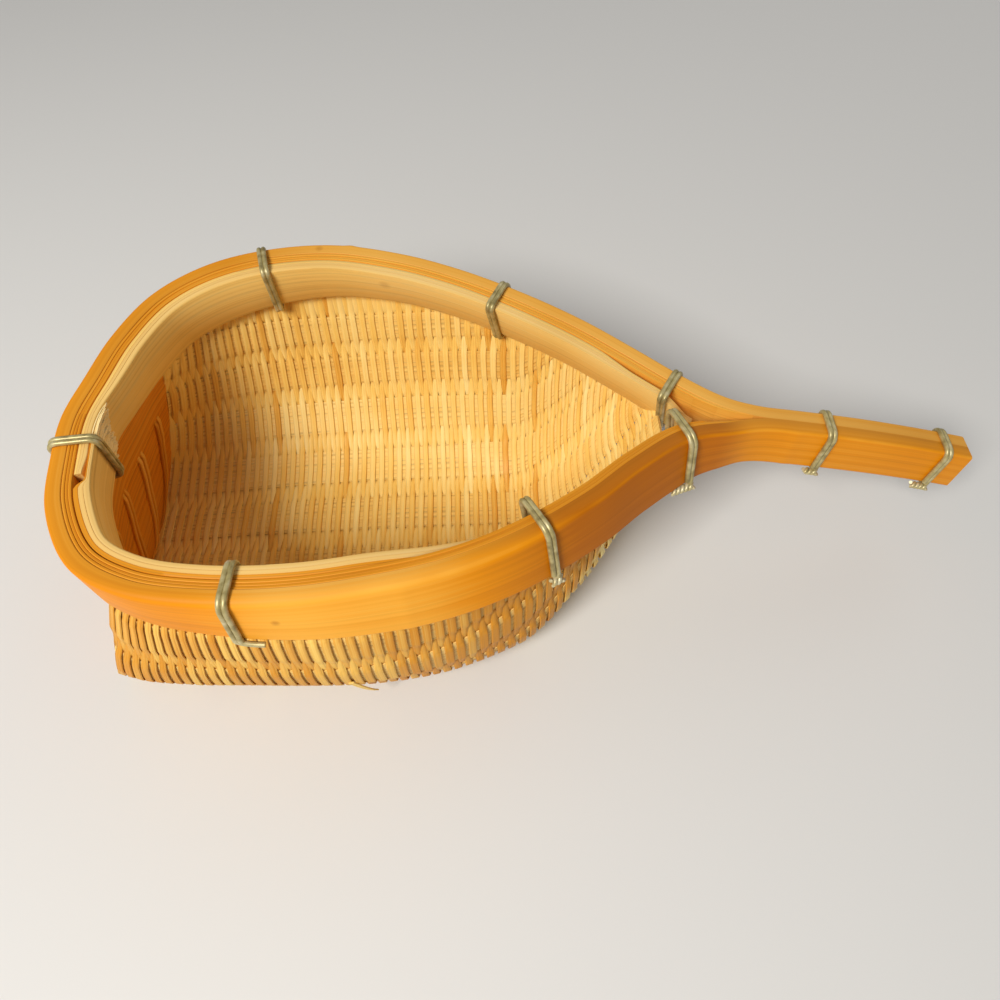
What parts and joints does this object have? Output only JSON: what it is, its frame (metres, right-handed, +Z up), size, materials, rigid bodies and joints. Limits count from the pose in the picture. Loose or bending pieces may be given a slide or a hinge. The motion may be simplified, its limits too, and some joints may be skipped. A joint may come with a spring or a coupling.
{
  "type": "scoop basket",
  "caption": "Hand-woven bamboo scoop with a deep teardrop bowl of flat ribs and crosswise weavers, a layered hoop rim bound with wire and a short straight handle.",
  "frame": {"origin": "middle of the part's box, at the level the basket rests on", "axes": "+X from the closed end to the handle, +Y across the bowl, +Z up out of the bowl's mouth"},
  "size_m": [0.2744, 0.1336, 0.0764],
  "materials": {
    "bark": "smooth bamboo bark, satin, honey brown",
    "split": "split bamboo, matt, pale straw with fibres",
    "rib": "flat bamboo strip, satin",
    "weaver": "narrow split bamboo, matt, straw to honey",
    "end": "wide bamboo strip, satin, orange brown",
    "wire": "dull grey binding wire"
  },
  "bodies": {
    "root": {"end_strip_1": "end", "end_strip_2": "end", "end_strip_3": "end", "inner_hoop_far": "split", "inner_hoop_near": "split", "middle_strip_far": "split", "middle_strip_near": "split", "outer_hoop_handle": "bark", "rib_01": "rib", "rib_02": "rib", "rib_03": "rib", "rib_04": "rib", "rib_05": "rib", "rib_06": "rib", "rib_07": "rib", "rib_08": "rib", "rib_09": "rib", "tie_closed_end": "wire", "tie_far_1": "wire", "tie_far_2": "wire", "tie_handle_1": "wire", "tie_handle_2": "wire", "tie_near_1": "wire", "tie_near_2": "wire", "tie_neck_far": "wire", "tie_neck_near": "wire", "upright_1": "weaver", "upright_2": "weaver", "upright_3": "weaver", "upright_4": "weaver", "upright_5": "weaver", "weaver_01": "weaver", "weaver_02": "weaver", "weaver_03": "weaver", "weaver_04": "weaver", "weaver_05": "weaver", "weaver_06": "weaver", "weaver_07": "weaver", "weaver_08": "weaver", "weaver_09": "weaver", "weaver_10": "weaver", "weaver_11": "weaver", "weaver_12": "weaver", "weaver_13": "weaver", "weaver_14": "weaver", "weaver_15": "weaver", "weaver_16": "weaver", "weaver_17": "weaver", "weaver_18": "weaver", "weaver_19": "weaver", "weaver_20": "weaver", "weaver_21": "weaver", "weaver_22": "weaver", "weaver_23": "weaver", "weaver_24": "weaver"}
  },
  "joints": []
}
